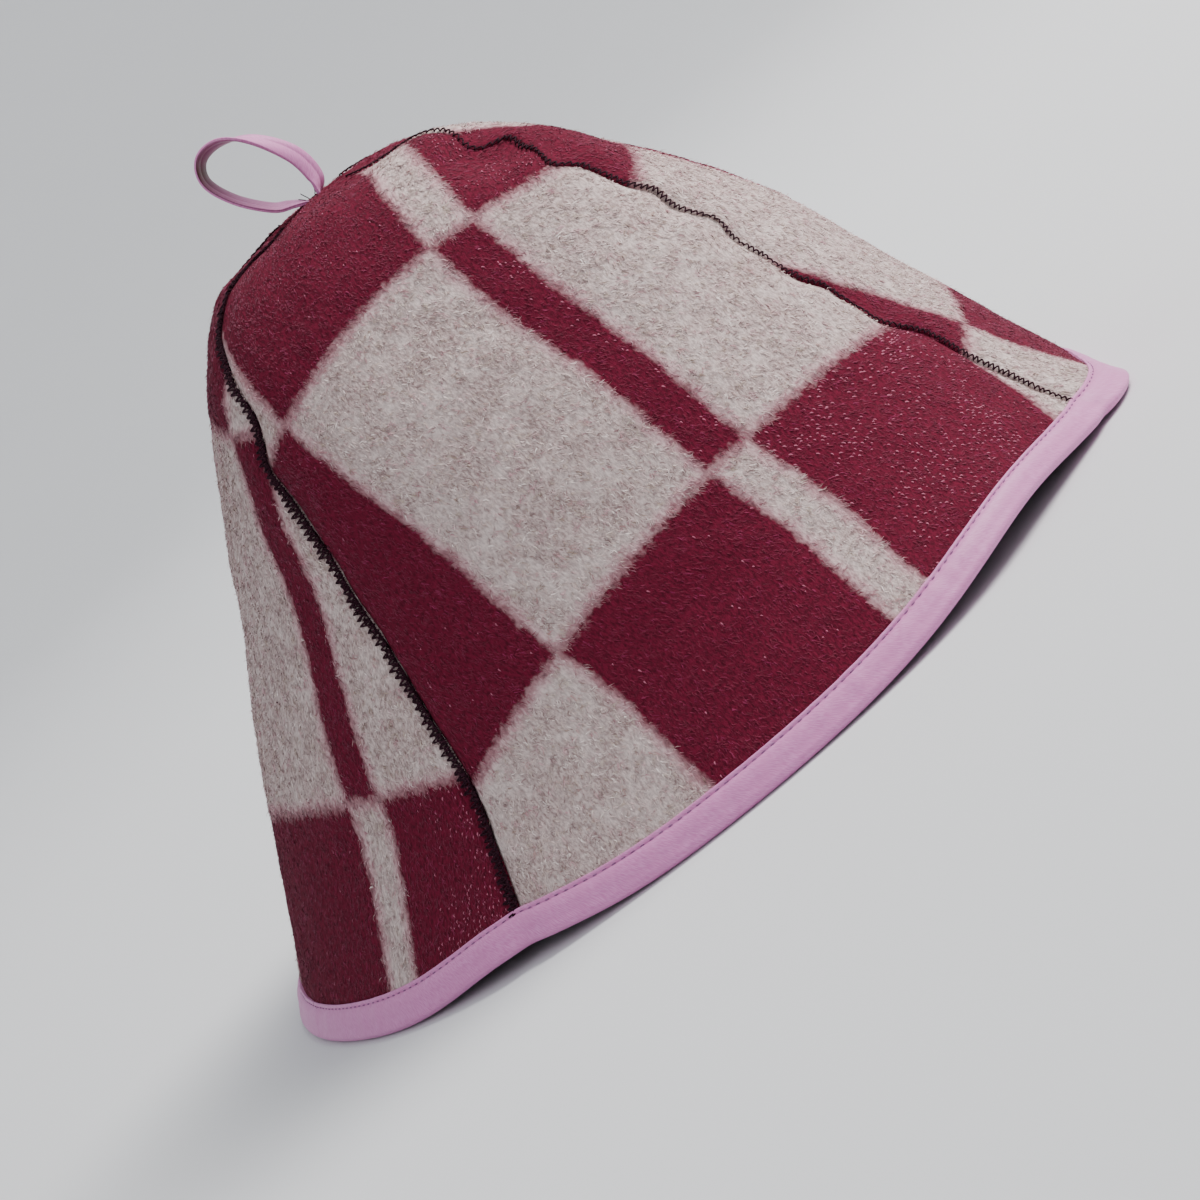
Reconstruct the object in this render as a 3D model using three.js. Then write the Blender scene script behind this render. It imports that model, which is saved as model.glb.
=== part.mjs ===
// Sauna hat: four gores of thick brushed wool cloth, a bias binding round the rim and a tape loop at the top.
// Millimetres, +Z up. The wearer faces -Y and the wearer's right is -X. The origin is the middle of the rim,
// on the surface that the hat rests on.

import * as THREE from 'three';

// ---- Driving dimensions ----

const CLOTH = 2.6;            // wall of the wool cloth
const GAP = 0.3;              // clearance between pieces that touch on the sewn hat
const BINDING_WALL = 1.0;     // folded binding cloth, each side of the rim
const BINDING_WIDTH = 11.0;   // how far the binding reaches up the wall
const BINDING_FLOOR = 1.1;    // binding cloth below the cut edge of the gores
const BINDING_BEVEL = 0.9;    // rounded lower corners of the binding
const CROWN_HOLE = 5.9;       // slant radius of the opening that the loop's two ends go through
const GORES = 4;
const GORE_STEPS = 16;        // facets across one gore
const SLANT_STEPS = 20;       // facets from the crown down to the binding

// One row for each level section: its height, how far it reaches forwards, backwards and sideways, how
// square it is (2 is an ellipse, more is squarer, with corners at the seams), how far the seams have turned
// there, and how far they are pinched towards the front and back, both in degrees.
const SECTIONS = [
  { name: 'apex',     z: 192.0, front: 0,   back: 0,   side: 0,   square: 2.8, turn: 11,   pinch: 14 },
  { name: 'crown',    z: 190.6, front: 15,  back: 17,  side: 17,  square: 2.8, turn: 11.5, pinch: 14 },
  { name: 'top',      z: 187.0, front: 31,  back: 34,  side: 35,  square: 3.0, turn: 12.5, pinch: 13 },
  { name: 'shoulder', z: 179.0, front: 47,  back: 49,  side: 51,  square: 3.2, turn: 13.5, pinch: 10 },
  { name: 'turning',  z: 167.0, front: 62,  back: 61,  side: 65,  square: 3.2, turn: 13,   pinch: 6 },
  { name: 'upper',    z: 152.0, front: 75,  back: 71,  side: 77,  square: 3.0, turn: 11.5, pinch: 2 },
  { name: 'temple',   z: 129.0, front: 93,  back: 86,  side: 93,  square: 2.6, turn: 8.5,  pinch: 0.5 },
  { name: 'head',     z: 102.0, front: 107, back: 101, side: 108, square: 2.2, turn: 5,    pinch: -0.5 },
  { name: 'bell',     z: 72.0,  front: 120, back: 120, side: 122, square: 2.1, turn: 3,    pinch: -1 },
  { name: 'flare',    z: 37.0,  front: 135, back: 142, side: 140, square: 2.0, turn: 0,    pinch: 0 },
  { name: 'rim',      z: 0.0,   front: 149, back: 165, side: 164, square: 2.0, turn: 0,    pinch: 0 },
];
const COLUMNS = ['z', 'front', 'back', 'side', 'square', 'turn', 'pinch'];
const AHEAD = 8;              // the apex stands this far in front of the middle of the rim

// Soft dents and bulges of the cloth. The angle goes from the front towards the wearer's right, the slant is
// the distance from the apex, spread (degrees) and length (mm) say how wide the fold is, and rise (mm) how
// far it stands out of the plain form, or sinks into it.
const FOLDS = [
  { name: 'seam dimple',   angle: 58,  slant: 64,  spread: 10, length: 10, rise: -5.0 },
  { name: 'crown knuckle', angle: 52,  slant: 46,  spread: 16, length: 11, rise: 2.0 },
  { name: 'brow knuckle',  angle: 48,  slant: 84,  spread: 14, length: 14, rise: 2.4 },
  { name: 'crown hollow',  angle: 66,  slant: 22,  spread: 45, length: 12, rise: -2.2 },
  { name: 'crown ridge',   angle: 112, slant: 30,  spread: 40, length: 14, rise: 1.6 },
  { name: 'brow hollow',   angle: 35,  slant: 128, spread: 18, length: 26, rise: -2.2 },
  { name: 'nape hollow',   angle: 165, slant: 120, spread: 24, length: 30, rise: -2.4 },
  { name: 'side swell',    angle: 95,  slant: 150, spread: 26, length: 40, rise: 2.0 },
  { name: 'left dimple',   angle: 322, slant: 66,  spread: 12, length: 12, rise: -3.0 },
  { name: 'left hollow',   angle: 262, slant: 110, spread: 24, length: 32, rise: -2.6 },
  { name: 'left swell',    angle: 290, slant: 175, spread: 22, length: 34, rise: 2.2 },
  { name: 'back swell',    angle: 200, slant: 185, spread: 22, length: 36, rise: 2.2 },
  { name: 'back knuckle',  angle: 195, slant: 42,  spread: 20, length: 11, rise: 2.4 },
  { name: 'loop hollow',   angle: 165, slant: 18,  spread: 40, length: 8,  rise: -1.4 },
  { name: 'rim nose',      angle: 38,  slant: 275, spread: 9,  length: 24, rise: 11.0 },
  { name: 'rim dent',      angle: 60,  slant: 272, spread: 12, length: 26, rise: -4.0 },
  { name: 'back reach',    angle: 152, slant: 275, spread: 12, length: 26, rise: 3.0 },
  { name: 'front swell',   angle: 8,   slant: 147, spread: 22, length: 24, rise: 2.4 },
];

const LEVEL_FADE = 40;                                         // how far up from the rim folds stay level
const VALLEY = { depth: 1.3, halfWidth: 5.5, start: 30 };      // groove along each seam, full from a radius

// Where the rim lifts off the surface beside a seam, and how far up the wall the lift fades.
const RIM_WAVES = [
  { name: 'back right', angle: 137, spread: 11, rise: 4.5, fade: 34 },
  { name: 'front right', angle: 67, spread: 18, rise: 7.0, fade: 30 },
];

// Middle line of the tape loop, from one end to the other: how far behind and above the apex it passes, and
// how far the tape is twisted there, in degrees. Both ends go down through the crown's opening.
const LOOP = { width: 6.4, tape: 1.2, steps: 60 };
const LOOP_LINE = [
  { name: 'back end',    back: 2.1,  up: -4.5, twist: 0 },
  { name: 'back root',   back: 2.2,  up: -0.6, twist: -8 },
  { name: 'back arm',    back: 6.4,  up: 2.2,  twist: -20 },
  { name: 'low belly',   back: 11.6, up: 5.2,  twist: -28 },
  { name: 'low bend',    back: 18.7, up: 14.0, twist: -32 },
  { name: 'tip',         back: 22.2, up: 23.4, twist: -36 },
  { name: 'high bend',   back: 18.9, up: 29.6, twist: -34 },
  { name: 'edge on',     back: 11.3, up: 30.0, twist: -14 },
  { name: 'high belly',  back: 2.7,  up: 24.1, twist: 32 },
  { name: 'front arm',   back: -3.9, up: 13.4, twist: 64 },
  { name: 'front foot',  back: -4.9, up: 4.2,  twist: 60 },
  { name: 'front root',  back: -2.3, up: -0.6, twist: 14 },
  { name: 'front end',   back: -2.1, up: -4.5, twist: 0 },
];

const COLOURS = { burgundy: 0x7d1e3c, cream: 0xc8bcb4, binding: 0xd2a2c3 };

// ---- The form of the hat ----

const radians = THREE.MathUtils.degToRad;

function bell(offset, width) {
  return Math.exp(-((offset / width) ** 2));
}

function angleBetween(a, b) {
  return THREE.MathUtils.euclideanModulo(a - b + Math.PI, 2 * Math.PI) - Math.PI;
}

// Slant distance from the apex to each section, along its mean radius.
function slantsOf(sections) {
  const radius = (s) => (s.front + s.back + 2 * s.side) / 4;
  const slants = [0];
  for (let i = 1; i < sections.length; i++) {
    const across = radius(sections[i]) - radius(sections[i - 1]);
    const down = sections[i].z - sections[i - 1].z;
    slants.push(slants[i - 1] + Math.hypot(across, down));
  }
  return slants;
}

const SLANTS = slantsOf(SECTIONS);
const RIM_SLANT = SLANTS[SLANTS.length - 1];

// The gores are cut where the binding's floor and its clearance begin.
const EDGE_HEIGHT = BINDING_FLOOR + GAP;
const RIM_SLOPE = (SECTIONS.at(-2).z - SECTIONS.at(-1).z) / (SLANTS.at(-1) - SLANTS.at(-2));
const GORE_END = RIM_SLANT - EDGE_HEIGHT / RIM_SLOPE;

// Gores and binding share these stations, so that their facets lie side by side.
const BINDING_TOP = RIM_SLANT - BINDING_WIDTH;
const BINDING_MIDDLE = RIM_SLANT - BINDING_WIDTH / 2;

// Slope at each row that never overshoots: the harmonic mean of the slopes on both sides.
function slopesOf(column) {
  const steps = [];
  for (let i = 1; i < SECTIONS.length; i++) {
    steps.push((SECTIONS[i][column] - SECTIONS[i - 1][column]) / (SLANTS[i] - SLANTS[i - 1]));
  }
  const harmonic = (a, b) => (a * b > 0 ? 2 * a * b / (a + b) : 0);
  const inner = steps.slice(1).map((next, i) => harmonic(steps[i], next));
  return [steps[0], ...inner, steps[steps.length - 1]];
}

const SLOPES = Object.fromEntries(COLUMNS.map((column) => [column, slopesOf(column)]));

function sectionAt(slant) {
  let i = 0;
  while (i < SECTIONS.length - 2 && slant > SLANTS[i + 1]) i++;
  const span = SLANTS[i + 1] - SLANTS[i];
  const u = (slant - SLANTS[i]) / span;
  const blend = u * u * (3 - 2 * u);
  const result = {};
  for (const column of COLUMNS) {
    const from = SECTIONS[i][column];
    const to = SECTIONS[i + 1][column];
    const leaving = SLOPES[column][i] * span * u * (1 - u) ** 2;
    const arriving = SLOPES[column][i + 1] * span * u * u * (1 - u);
    result[column] = from + (to - from) * blend + leaving - arriving;
  }
  return result;
}

// How far the rim's waves lift the wall.
function waveAt(angle, slant) {
  let lift = 0;
  for (const w of RIM_WAVES) {
    const beside = bell(angleBetween(angle, radians(w.angle)), radians(w.spread));
    lift += w.rise * beside * bell(RIM_SLANT - slant, w.fade);
  }
  return lift;
}

// The angle that a place has when the seams are evenly spaced, at odd eighths of a turn, from its pinched
// angle. Two rounds are exact at the seams.
function unpinched(local, pinch) {
  const once = local + pinch * Math.sin(2 * local);
  return local + pinch * Math.sin(2 * once);
}

// Point on the plain outer form, before its folds.
function plainPoint(angle, slant) {
  const s = sectionAt(slant);
  const ahead = Math.cos(angle);
  const aside = Math.sin(angle);
  const reach = ahead > 0 ? s.front : s.back;
  let radius = 1 / Math.hypot(ahead / reach, aside / s.side);
  const even = unpinched(angle - radians(s.turn), radians(s.pinch));
  const powers = Math.abs(Math.cos(even)) ** s.square + Math.abs(Math.sin(even)) ** s.square;
  radius *= powers ** (-1 / s.square);
  const fromSeam = angleBetween(GORES * even, Math.PI) / GORES * radius;
  radius -= VALLEY.depth * bell(fromSeam, VALLEY.halfWidth) * Math.min(1, radius / VALLEY.start);
  return new THREE.Vector3(-radius * aside, -radius * ahead, s.z + waveAt(angle, slant));
}

// Outward normal of a surface given as a function of angle and slant, from a small step each way.
function normalOf(surface, angle, slant) {
  const step = 0.5;
  const turn = step / (CROWN_HOLE + slant / 2);
  const around = surface(angle + turn, slant).sub(surface(angle - turn, slant));
  const down = surface(angle, slant + step).sub(surface(angle, slant - step));
  return around.cross(down).normalize();
}

function foldRise(angle, slant) {
  let rise = 0;
  for (const f of FOLDS) {
    const beside = bell(angleBetween(angle, radians(f.angle)), radians(f.spread));
    rise += f.rise * beside * bell(slant - f.slant, f.length);
  }
  return rise;
}

// Folds stand out along the normal, and level near the rim, so that they leave its height alone.
function outerPoint(angle, slant) {
  const normal = normalOf(plainPoint, angle, slant);
  normal.z *= 1 - bell(RIM_SLANT - slant, LEVEL_FADE);
  return plainPoint(angle, slant).addScaledVector(normal, foldRise(angle, slant));
}

// Point at a depth below the outer surface.
function wallPoint(angle, slant, depth) {
  return outerPoint(angle, slant).addScaledVector(normalOf(outerPoint, angle, slant), -depth);
}

// Point at a level depth from the outer edge of the gores, and at a height over the surface that the rim
// rests on, so that what is made of these points lies flat outside the rim's waves.
function edgePoint(angle, depth, height) {
  const point = outerPoint(angle, GORE_END);
  const normal = normalOf(outerPoint, angle, GORE_END);
  const flat = new THREE.Vector3(normal.x, normal.y, 0);
  point.addScaledVector(flat, -depth / flat.lengthSq());
  point.z = height + waveAt(angle, GORE_END);
  return point;
}

// ---- Closed bodies ----

// Skins a row of sections, each a closed outline with the same number of points. An open row gets end faces,
// laddered between the two sides of its outline.
function sweep(sections, closed) {
  const count = sections[0].length;
  const triangles = [];
  const quad = (a, b, c, d) => triangles.push(a, b, c, a, c, d);
  const last = closed ? sections.length : sections.length - 1;
  for (let i = 0; i < last; i++) {
    const here = i * count;
    const next = ((i + 1) % sections.length) * count;
    for (let j = 0; j < count; j++) {
      const k = (j + 1) % count;
      quad(here + j, here + k, next + k, next + j);
    }
  }
  if (!closed) {
    const end = (sections.length - 1) * count;
    for (let j = 0; j < count / 2 - 1; j++) {
      quad(count - 1 - j, count - 2 - j, j + 1, j);
      quad(end + j, end + j + 1, end + count - 2 - j, end + count - 1 - j);
    }
  }
  const geometry = new THREE.BufferGeometry().setFromPoints(sections.flat());
  geometry.setIndex(facingOut(sections.flat(), triangles));
  geometry.computeVertexNormals();
  return geometry;
}

// Turns every triangle over if together they enclose a negative volume.
function facingOut(points, triangles) {
  let volume = 0;
  for (let i = 0; i < triangles.length; i += 3) {
    const [a, b, c] = triangles.slice(i, i + 3).map((n) => points[n]);
    volume += a.dot(b.clone().cross(c));
  }
  return volume > 0 ? triangles : triangles.reverse();
}

function piece(name, geometry, color, roughness) {
  const mesh = new THREE.Mesh(geometry, new THREE.MeshStandardMaterial({ color, roughness, metalness: 0 }));
  mesh.name = name;
  return mesh;
}

// ---- Gores ----

// Angle of a place across a gore, from -1 to 1 between its two seams, which keep half a gap each.
function goreAngle(middle, across, slant) {
  const s = sectionAt(slant);
  const radius = (s.front + s.back) / 2;
  const even = middle + across * (Math.PI / GORES - GAP / 2 / radius);
  return even + radians(s.turn) - radians(s.pinch) * Math.sin(2 * even);
}

function gore(middle) {
  const slants = [];
  for (let i = 0; i <= SLANT_STEPS; i++) {
    slants.push(CROWN_HOLE + (BINDING_TOP - CROWN_HOLE) * (i / SLANT_STEPS));
  }
  slants.push(BINDING_MIDDLE, GORE_END);
  const sections = [];
  for (let i = 0; i <= GORE_STEPS; i++) {
    const across = 2 * i / GORE_STEPS - 1;
    const wall = (depth) => slants.map((slant) => {
      const angle = goreAngle(middle, across, slant);
      return slant < GORE_END ? wallPoint(angle, slant, depth) : edgePoint(angle, depth, EDGE_HEIGHT);
    });
    sections.push([...wall(0), ...wall(CLOTH).reverse()]);
  }
  return sweep(sections, false);
}

// ---- Rim binding ----

// Outline of the binding at one angle: up over its outer face, down inside it round the cut edge of the
// gores, up inside its inner half and back down over the inner face to the flat that the hat rests on.
function bindingSection(angle) {
  const outside = -(GAP + BINDING_WALL);
  const inside = CLOTH + GAP + BINDING_WALL;
  const at = (slant, depth) => wallPoint(angle, slant, depth);
  const low = (depth, height) => edgePoint(angle, depth, height);
  return [
    low(outside + BINDING_BEVEL, 0),
    low(outside, BINDING_BEVEL),
    at(BINDING_MIDDLE, outside),
    at(BINDING_TOP, outside),
    at(BINDING_TOP, -GAP),
    at(BINDING_MIDDLE, -GAP),
    low(-GAP, BINDING_FLOOR),
    low(CLOTH + GAP, BINDING_FLOOR),
    at(BINDING_MIDDLE, CLOTH + GAP),
    at(BINDING_TOP, CLOTH + GAP),
    at(BINDING_TOP, inside),
    at(BINDING_MIDDLE, inside),
    low(inside, BINDING_BEVEL),
    low(inside - BINDING_BEVEL, 0),
  ];
}

function rimBinding() {
  const steps = GORES * GORE_STEPS;
  const start = Math.PI / GORES;
  const sections = [];
  for (let i = 0; i < steps; i++) sections.push(bindingSection(start + 2 * Math.PI * i / steps));
  return sweep(sections, true);
}

// ---- Hanging loop ----

// The tape lies level across its width where it isn't twisted. A twist turns its outer face towards the left.
function hangLoop() {
  const rows = LOOP_LINE.map((row) => new THREE.Vector3(row.back, row.up, row.twist));
  const line = new THREE.CatmullRomCurve3(rows, false, 'catmullrom', 0.5);
  const pointAt = (share) => {
    const at = line.getPoint(THREE.MathUtils.clamp(share, 0, 1));
    return new THREE.Vector3(0, at.x, SECTIONS[0].z + at.y);
  };
  const left = new THREE.Vector3(1, 0, 0);
  const nudge = 0.25 / LOOP.steps;
  const sections = [];
  for (let i = 0; i <= LOOP.steps; i++) {
    const share = i / LOOP.steps;
    const centre = pointAt(share);
    const along = pointAt(share + nudge).sub(pointAt(share - nudge)).normalize();
    const upright = left.clone().cross(along);
    const twist = radians(line.getPoint(share).z);
    const width = left.clone().multiplyScalar(Math.cos(twist)).addScaledVector(upright, -Math.sin(twist));
    const inward = upright.multiplyScalar(Math.cos(twist)).addScaledVector(left, Math.sin(twist));
    const corner = (w, t) => centre.clone().addScaledVector(width, w * LOOP.width / 2)
      .addScaledVector(inward, t * LOOP.tape / 2);
    sections.push([corner(-1, -1), corner(1, -1), corner(1, 1), corner(-1, 1)]);
  }
  return sweep(sections, false);
}

// ---- The hat ----

const hat = new THREE.Group();
hat.position.y = -AHEAD;
['front', 'right', 'back', 'left'].forEach((side, i) => {
  const colour = i % 2 ? COLOURS.burgundy : COLOURS.cream;
  hat.add(piece(`panel_${side}`, gore(i * 2 * Math.PI / GORES), colour, 0.95));
});
hat.add(piece('rim_binding', rimBinding(), COLOURS.binding, 0.55));
hat.add(piece('hang_loop', hangLoop(), COLOURS.binding, 0.6));

export default hat;
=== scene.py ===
import math

import bpy
import numpy as np
from mathutils import Matrix, Vector


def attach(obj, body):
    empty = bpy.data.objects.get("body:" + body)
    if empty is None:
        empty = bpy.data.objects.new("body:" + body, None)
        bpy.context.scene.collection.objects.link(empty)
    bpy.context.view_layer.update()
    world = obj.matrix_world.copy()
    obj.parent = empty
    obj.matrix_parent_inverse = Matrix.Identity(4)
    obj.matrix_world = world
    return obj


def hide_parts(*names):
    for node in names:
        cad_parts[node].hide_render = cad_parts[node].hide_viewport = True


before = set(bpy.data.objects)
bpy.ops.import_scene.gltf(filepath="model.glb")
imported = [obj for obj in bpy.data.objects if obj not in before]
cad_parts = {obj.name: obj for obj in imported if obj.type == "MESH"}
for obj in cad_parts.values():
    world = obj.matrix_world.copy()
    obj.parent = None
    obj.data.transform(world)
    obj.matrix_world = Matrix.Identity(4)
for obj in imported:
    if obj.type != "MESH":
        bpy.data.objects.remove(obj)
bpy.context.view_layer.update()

# A sauna hat of checked wool cloth: four gores, a bound rim and a hanging loop. It rests on its rim.
# Shapes are worked out in millimetres, with the same form as the CAD, and put() scales them to metres.
# Angles run from the front of the hat, which faces -Y, towards the wearer's right, which is -X.

MM = 0.001
rng = np.random.default_rng(11)


# ---- The form of the hat ----

GORES = 4
CLOTH = 2.6  # thickness of the wool cloth
BINDING_WIDTH = 11  # how far the binding reaches up the wall
BINDING_FLOOR = 1.1  # thickness of the binding under the gores
GAP = 0.3  # between the gores' lower edge and the binding

# One row for each level section: its height, its reach forwards, backwards and sideways, how square it is,
# and how far the seams have turned and are pinched towards the front and back there, in degrees.
SECTIONS = np.array([
    (192, 0, 0, 0, 2.8, 11, 14),  # apex
    (190.6, 15, 17, 17, 2.8, 11.5, 14),  # crown
    (187, 31, 34, 35, 3.0, 12.5, 13),  # top
    (179, 47, 49, 51, 3.2, 13.5, 10),  # shoulder
    (167, 62, 61, 65, 3.2, 13, 6),  # turning
    (152, 75, 71, 77, 3.0, 11.5, 2),  # upper
    (129, 93, 86, 93, 2.6, 8.5, 0.5),  # temple
    (102, 107, 101, 108, 2.2, 5, -0.5),  # head
    (72, 120, 120, 122, 2.1, 3, -1),  # bell
    (37, 135, 142, 140, 2.0, 0, 0),  # flare
    (0, 149, 165, 164, 2.0, 0, 0),  # rim
], float)
AHEAD = 8  # the apex stands this far in front of the middle of the rim

# Dents and swellings: angle and slant of the middle, spread in degrees, length and rise in millimetres.
FOLDS = [
    (58, 64, 10, 10, -5.0),  # seam dimple
    (52, 46, 16, 11, 2.0),  # crown knuckle
    (48, 84, 14, 14, 2.4),  # brow knuckle
    (66, 22, 45, 12, -2.2),  # crown hollow
    (112, 30, 40, 14, 1.6),  # crown ridge
    (35, 128, 18, 26, -2.2),  # brow hollow
    (165, 120, 24, 30, -2.4),  # nape hollow
    (95, 150, 26, 40, 2.0),  # side swell
    (322, 66, 12, 12, -3.0),  # left dimple
    (262, 110, 24, 32, -2.6),  # left hollow
    (290, 175, 22, 34, 2.2),  # left swell
    (200, 185, 22, 36, 2.2),  # back swell
    (195, 42, 20, 11, 2.4),  # back knuckle
    (165, 18, 40, 8, -1.4),  # loop hollow
    (38, 275, 9, 24, 11.0),  # rim nose
    (60, 272, 12, 26, -4.0),  # rim dent
    (152, 275, 12, 26, 3.0),  # back reach
    (8, 147, 22, 24, 2.4),  # front swell
]
LEVEL_FADE = 40  # how far up from the rim folds stay level
VALLEY = {"depth": 1.3, "half_width": 5.5, "start": 30}
RIM_WAVES = [
    # angle, spread, rise, fade
    (137, 11, 4.5, 34),  # back right
    (67, 18, 7.0, 30),  # front right
]
NORMAL_STEP = 0.5  # half the span over which a normal is measured
LEAST_SLANT = 0.1  # the form has no normal at the apex itself


def bell(offset, width):
    return np.exp(-((offset / width) ** 2))


def angle_between(a, b):
    return (a - b + math.pi) % (2 * math.pi) - math.pi


def unit(vectors):
    return vectors / np.linalg.norm(vectors, axis=-1, keepdims=True)


def length_along(points):
    """How far along a line of points each of them is."""
    return np.concatenate([[0], np.cumsum(np.linalg.norm(np.diff(points, axis=0), axis=-1))])


def slants_of(sections):
    """Slant distance from the apex to each section, along its mean radius."""
    radius = (sections[:, 1] + sections[:, 2] + 2 * sections[:, 3]) / 4
    steps = np.hypot(np.diff(radius), np.diff(sections[:, 0]))
    return np.concatenate([[0], np.cumsum(steps)])


SLANTS = slants_of(SECTIONS)
RIM_SLANT = SLANTS[-1]
RIM_SLOPE = (SECTIONS[-2, 0] - SECTIONS[-1, 0]) / (SLANTS[-1] - SLANTS[-2])
EDGE_HEIGHT = BINDING_FLOOR + GAP
GORE_END = RIM_SLANT - EDGE_HEIGHT / RIM_SLOPE


def slopes_of(sections):
    """Slope at each row that never overshoots: the harmonic mean of the slopes on both sides."""
    steps = np.diff(sections, axis=0) / np.diff(SLANTS)[:, None]
    before, after = steps[:-1], steps[1:]
    total = np.where(before * after > 0, before + after, 1)
    inner = np.where(before * after > 0, 2 * before * after / total, 0)
    return np.concatenate([steps[:1], inner, steps[-1:]])


SLOPES = slopes_of(SECTIONS)


def section_at(slant):
    """The columns of the section table at each slant distance."""
    i = np.clip(np.searchsorted(SLANTS, slant) - 1, 0, len(SLANTS) - 2)
    span = (SLANTS[i + 1] - SLANTS[i])[..., None]
    u = (slant - SLANTS[i])[..., None] / span
    level = SECTIONS[i] + (SECTIONS[i + 1] - SECTIONS[i]) * u * u * (3 - 2 * u)
    leaving = SLOPES[i] * span * u * (1 - u) ** 2
    arriving = SLOPES[i + 1] * span * u * u * (1 - u)
    return np.moveaxis(level + leaving - arriving, -1, 0)


def wave_at(angle, slant):
    """How far the rim's waves lift the wall."""
    lift = 0
    for middle, spread, rise, fade in RIM_WAVES:
        beside = bell(angle_between(angle, math.radians(middle)), math.radians(spread))
        lift = lift + rise * beside * bell(RIM_SLANT - slant, fade)
    return lift


def unpinched(local, pinch):
    """The angle that a place has when the seams are evenly spaced, from its pinched angle."""
    once = local + pinch * np.sin(2 * local)
    return local + pinch * np.sin(2 * once)


def plain_point(angle, slant):
    """Points on the plain outer form, before its folds."""
    z, front, back, side, square, turn, pinch = section_at(slant)
    ahead, aside = np.cos(angle), np.sin(angle)
    radius = 1 / np.hypot(ahead / np.where(ahead > 0, front, back), aside / side)
    even = unpinched(angle - np.radians(turn), np.radians(pinch))
    radius *= (abs(np.cos(even)) ** square + abs(np.sin(even)) ** square) ** (-1 / square)
    from_seam = angle_between(GORES * even, math.pi) / GORES * radius
    groove = VALLEY["depth"] * bell(from_seam, VALLEY["half_width"])
    radius -= groove * np.minimum(1, radius / VALLEY["start"])
    return np.stack([-radius * aside, -radius * ahead, z + wave_at(angle, slant)], axis=-1)


def normal_of(surface, angle, slant):
    """Outward normals of a surface given as a function of angle and slant."""
    turn = NORMAL_STEP / (4 + slant / 2)
    above = np.maximum(slant - NORMAL_STEP, LEAST_SLANT)
    around = surface(angle + turn, slant) - surface(angle - turn, slant)
    down = surface(angle, slant + NORMAL_STEP) - surface(angle, above)
    return unit(np.cross(around, down))


def outer_point(angle, slant):
    """Points on the outer form. Folds stand out along the normal, and level near the rim."""
    rise = 0
    for middle, centre, spread, length, height in FOLDS:
        beside = bell(angle_between(angle, math.radians(middle)), math.radians(spread))
        rise = rise + height * beside * bell(slant - centre, length)
    normal = normal_of(plain_point, angle, slant)
    normal[..., 2] *= 1 - bell(RIM_SLANT - slant, LEVEL_FADE)
    return plain_point(angle, slant) + normal * rise[..., None]


def wall_point(angle, slant, depth):
    """Points at a depth below the outer form."""
    return outer_point(angle, slant) - normal_of(outer_point, angle, slant) * np.asarray(depth)[..., None]


def edge_point(angle, depth, height):
    """Points at a level depth from the gores' lower edge and a height above the floor."""
    slant = np.full_like(angle, GORE_END)
    normal = normal_of(outer_point, angle, slant)
    normal[..., 2] = 0
    normal /= np.sum(normal ** 2, axis=-1, keepdims=True)
    point = outer_point(angle, slant) - normal * np.asarray(depth)[..., None]
    point[..., 2] = height + wave_at(angle, slant)
    return point


# ---- Meshes ----

def put(name, points, faces, material, attributes=None):
    """A mesh object that rides on the hat, from points in millimetres and a list of face arrays."""
    mesh = bpy.data.meshes.new(name)
    corners = np.concatenate([np.asarray(f).ravel() for f in faces])
    sizes = np.concatenate([np.full(len(f), np.asarray(f).shape[1]) for f in faces])
    starts = np.concatenate([[0], np.cumsum(sizes)[:-1]])
    mesh.vertices.add(len(points))
    place = (np.asarray(points) - (0, AHEAD, 0)) * MM
    mesh.vertices.foreach_set("co", place.astype(np.float32).ravel())
    mesh.loops.add(len(corners))
    mesh.loops.foreach_set("vertex_index", corners.astype(np.int32))
    mesh.polygons.add(len(sizes))
    mesh.polygons.foreach_set("loop_start", starts.astype(np.int32))
    mesh.polygons.foreach_set("use_smooth", np.full(len(sizes), True))
    for key, values in (attributes or {}).items():
        kind, field = ("FLOAT_VECTOR", "vector") if values.ndim == 2 else ("FLOAT", "value")
        attribute = mesh.attributes.new(key, kind, "POINT")
        attribute.data.foreach_set(field, values.astype(np.float32).ravel())
    mesh.update(calc_edges=True)
    mesh.validate()
    mesh.materials.append(material)
    thing = bpy.data.objects.new(name, mesh)
    bpy.context.collection.objects.link(thing)
    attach(thing, "root")
    return thing


def grid_faces(rows, columns, wrap_rows=False):
    """Quads of a grid of points stored row by row, whose last column joins the first."""
    i = np.arange(rows if wrap_rows else rows - 1)[:, None]
    j = np.arange(columns)[None, :]
    here, below = i * columns, (i + 1) % rows * columns
    right = (j + 1) % columns
    return np.stack([here + j, here + right, below + right, below + j], axis=-1).reshape(-1, 4)


def merge(parts):
    points, faces, start = [], [], 0
    for verts, lists in parts:
        points.append(verts)
        faces += [f + start for f in lists]
        start += len(verts)
    return np.concatenate(points), faces


NOISE_CELLS = 64


def value_noise(x, y, size, seed):
    """Smooth random numbers from -1 to 1 over a plane, one swell to each size."""
    grid = np.random.default_rng(seed).uniform(-1, 1, (NOISE_CELLS, NOISE_CELLS))
    u, v = x / size, y / size
    i, j = np.floor(u).astype(int), np.floor(v).astype(int)
    u, v = u - i, v - j
    u, v = u * u * (3 - 2 * u), v * v * (3 - 2 * v)

    def at(a, b):
        return grid[(i + a) % NOISE_CELLS, (j + b) % NOISE_CELLS]

    low = at(0, 0) * (1 - u) + at(1, 0) * u
    high = at(0, 1) * (1 - u) + at(1, 1) * u
    return low * (1 - v) + high * v


# ---- Materials ----

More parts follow.
